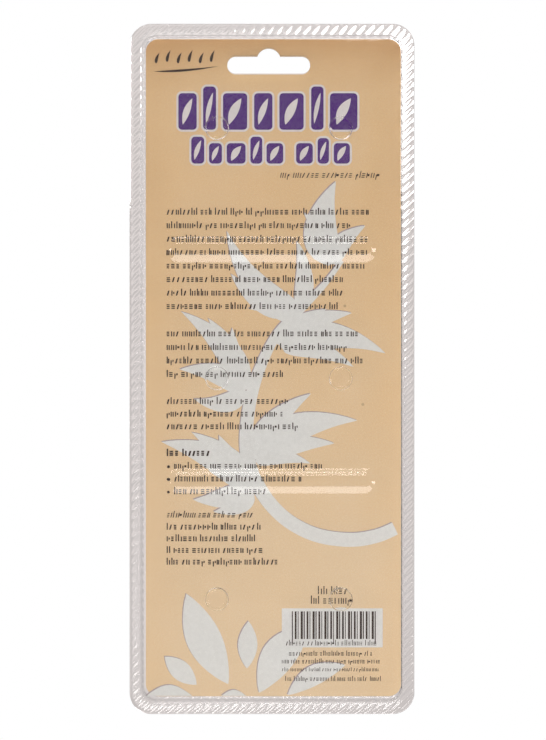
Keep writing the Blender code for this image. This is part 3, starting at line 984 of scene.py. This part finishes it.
# ------ ferrules
# Seamless brass tube spun to a taper with a rolled lip at the mouth, then nickel plated and
# polished; two crimps rolled in near the lower end hold the handle's tenon.
MOUTH_TAPER = 0.0003
TAPER_STARTS, TAPER_ENDS = 0.42, 0.70
CRIMP_SHARES = (0.80, 0.90)
LIP_BEAD = 0.00032
LIP_LENGTH = 0.0009


def nickel_plate():
    material, tree, shader = new_material("nickel_plate_fine", Metallic=1.0)
    place = add(tree, "TexCoord").outputs["Object"]
    lines = streaks(tree, place, (60, 60, 5200), 3.0, 0.6)
    cloud = add(tree, "TexNoise", Vector=place, Scale=190.0, Detail=3.0)
    tone = ramp(tree, cloud.outputs[0], ((0.30, (0.600, 0.570, 0.520)), (0.70, (0.720, 0.700, 0.660))))
    worn = marks(tree, 1.6)
    tone = mixed(tree, maths(tree, "MULTIPLY", worn, 0.35), tone, (0.42, 0.39, 0.34))
    rough = maths(tree, "MULTIPLY_ADD", lines, 0.14, 0.075)
    dress(tree, shader, Base_Color=tone, Roughness=maths(tree, "MULTIPLY_ADD", worn, 0.22, rough))
    relief(tree, shader, lines, 0.000006, 0.5)
    return material


def ferrule_radius(brush, depth):
    """Outside radius at a depth below the mouth, with the crimps rolled in."""
    mouth, waist, share = mouth_radius(brush), brush.waist / 2, depth / brush.ferrule
    if share < TAPER_STARTS:
        radius = mouth - MOUTH_TAPER * share / TAPER_STARTS
    elif share < TAPER_ENDS:
        turn = ease((share - TAPER_STARTS) / (TAPER_ENDS - TAPER_STARTS))
        radius = mouth - MOUTH_TAPER + (waist - mouth + MOUTH_TAPER) * turn
    else:
        radius = waist
    for place in CRIMP_SHARES:
        radius -= CRIMP_DEPTH * math.exp(-((depth - place * brush.ferrule) / (CRIMP_HALF * 0.55)) ** 2)
    return radius


def ferrule_points(brush):
    """Closed section: rolled lip, outer side, lower edge, then up the inner side."""
    lip = mouth_radius(brush) - LIP_BEAD
    turns = [math.radians(angle) for angle in range(0, 151, 15)]
    outer = [(lip + LIP_BEAD * math.sin(a), LIP_BEAD - LIP_BEAD * math.cos(a)) for a in turns]
    depths = [LIP_LENGTH + (brush.ferrule - 0.0010) * i / 110 for i in range(111)]
    for depth in depths:
        hollow = 0.00008 * math.exp(-(depth - LIP_LENGTH) / 0.0012)
        outer.append((ferrule_radius(brush, depth) - hollow, depth))
    edge = outer[-1][0]
    lower = [(edge - 0.00012, brush.ferrule), (edge - 0.00030, brush.ferrule)]
    inner = [(ferrule_radius(brush, depth) - FERRULE_WALL, depth) for depth in reversed(depths)]
    return outer + lower + inner + [(lip - 0.0001, 0.00012)]


NICKEL = nickel_plate()
for brush in BRUSHES:
    shape = bmesh.new()
    mouth = TIP_LEVEL - brush.bare
    points = [(radius, mouth - depth) for radius, depth in ferrule_points(brush)]
    rings = lathe(shape, points, brush.column, axis_depth(brush))
    bridge(shape, rings[-1], rings[0])
    fitted(finished(f"spun_{brush.name}_ferrule", shape, NICKEL, 50), brush, "ferrule")

# ------ bristles
# Each tuft is a bundle of single hog bristles, cut off flat and square for stencil work,
# packed tight at the mouth of the ferrule round a denser middle.
BRISTLE_COUNTS = (1900, 1050, 430)
GOLDEN_ANGLE = 2.39996323
CORE_DROP = 0.0012
ROOT_SHARE = 0.36
ROOT_DEPTH = 0.003


def hog_bristle():
    material, tree, shader = new_material("hog_bristle_fine", Roughness=0.48, Specular_IOR_Level=0.4,
                                          Sheen_Weight=0.2)
    place = add(tree, "TexCoord").outputs["Object"]
    strand = streaks(tree, place, (2900, 2900, 16), 2.0)
    tone = ramp(tree, strand, ((0.30, (0.27, 0.185, 0.095)), (0.46, (0.56, 0.43, 0.265)),
                               (0.60, (0.74, 0.62, 0.43)), (0.74, (0.86, 0.79, 0.64))))
    broad = add(tree, "TexNoise", Vector=place, Scale=340.0, Detail=2.0)
    tone = mixed(tree, 0.35, tone, ramp(tree, broad.outputs[0], ((0.3, 0.34), (0.7, 0.68))), "OVERLAY")
    dress(tree, shader, Base_Color=tone)
    return material


def add_strand(shape, path, sides=4):
    """A closed tapering bristle through (x, y, z, radius) points."""
    rings = []
    for x, y, z, radius in path:
        rings.append([shape.verts.new((x + radius * math.cos(2 * math.pi * i / sides + 0.4),
                                       y + radius * math.sin(2 * math.pi * i / sides + 0.4), z))
                      for i in range(sides)])
    bridge_all(shape, rings)
    shape.faces.new(rings[0])
    shape.faces.new(rings[-1])


def make_bristles(brush, count, source):
    shape = bmesh.new()
    column, depth = brush.column, axis_depth(brush)
    mouth = TIP_LEVEL - brush.bare
    reach = brush.tuft / 2 - 0.00016
    held = brush.tuft / 2 - 0.00060
    top, heel = TIP_LEVEL - CORE_DROP, mouth - ROOT_SHARE * brush.ferrule
    core = [(END_RADIUS, top), (reach * 0.80, top), (reach * 0.86, TIP_LEVEL - 0.004),
            (reach * 0.86, mouth + 0.001), (held * 0.9, mouth - 0.001), (held * 0.9, heel),
            (END_RADIUS, heel)]
    root = mouth - ROOT_DEPTH
    rings = lathe(shape, core, column, depth, 40)
    shape.faces.new(rings[0])
    shape.faces.new(rings[-1])
    for i in range(count):
        share = math.sqrt((i + 0.5) / count)
        angle = i * GOLDEN_ANGLE
        tip = TIP_LEVEL - abs(source.gauss(0, 0.00007))
        thick = source.uniform(0.00010, 0.00015) * (1.15 if brush.name == "large" else 1.0)
        lean_x, lean_y = source.gauss(0, 0.00005), source.gauss(0, 0.00005)
        path = []
        for t in (0.0, 0.22, 0.55, 1.0):
            radius = share * (held + (reach - held) * min(1.0, t * 2.4))
            x = radius * math.cos(angle) + lean_x * t * 3
            y = radius * math.sin(angle) + lean_y * t * 3
            pull = min(1.0, reach / math.hypot(x, y))
            path.append((column + x * pull, depth + y * pull, root + (tip - root) * t,
                         thick * (1.0 - 0.35 * t)))
        add_strand(shape, path)
    return finished(f"tuft_of_{brush.name}_bristles", shape, BRISTLE, 60)


BRISTLE = hog_bristle()
hairs = random.Random(31)
for brush, count in zip(BRUSHES, BRISTLE_COUNTS):
    fitted(make_bristles(brush, count, hairs), brush, "bristles")

# ------ glue plugs and thread ties
# Hidden in each ferrule: a plug of set epoxy under the bristle roots, and the waxed thread
# that binds them just above it.
def set_epoxy():
    material, tree, shader = new_material("set_epoxy", Roughness=0.22, Transmission_Weight=0.25, IOR=1.52)
    place = add(tree, "TexCoord").outputs["Object"]
    cloud = add(tree, "TexNoise", Vector=place, Scale=420.0, Detail=3.0)
    tone = ramp(tree, cloud.outputs[0], ((0.3, (0.34, 0.22, 0.075)), (0.7, (0.58, 0.44, 0.20))))
    dress(tree, shader, Base_Color=tone)
    bubbles = add(tree, "TexVoronoi", Vector=place, Scale=2200.0)
    relief(tree, shader, bubbles.outputs["Distance"], 0.00004, 0.5)
    return material


def wound_thread():
    material, tree, shader = new_material("wound_thread", Roughness=0.7, Sheen_Weight=0.3)
    place = add(tree, "TexCoord").outputs["Object"]
    coils = add(tree, "TexWave", {"wave_type": "BANDS", "bands_direction": "Z"}, Vector=place, Scale=640.0,
                Distortion=1.2, Detail=1.0)
    tone = ramp(tree, coils.outputs[0], ((0.1, (0.24, 0.19, 0.12)), (0.8, (0.62, 0.56, 0.44))))
    dress(tree, shader, Base_Color=tone)
    relief(tree, shader, coils.outputs[0], 0.00008, 0.8)
    return material


for kind, material in (("glue_plug", set_epoxy()), ("thread_tie", wound_thread())):
    for brush in BRUSHES:
        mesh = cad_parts[f"{brush.name}_brush_{kind}"].data
        mesh.materials.clear()
        mesh.materials.append(material)
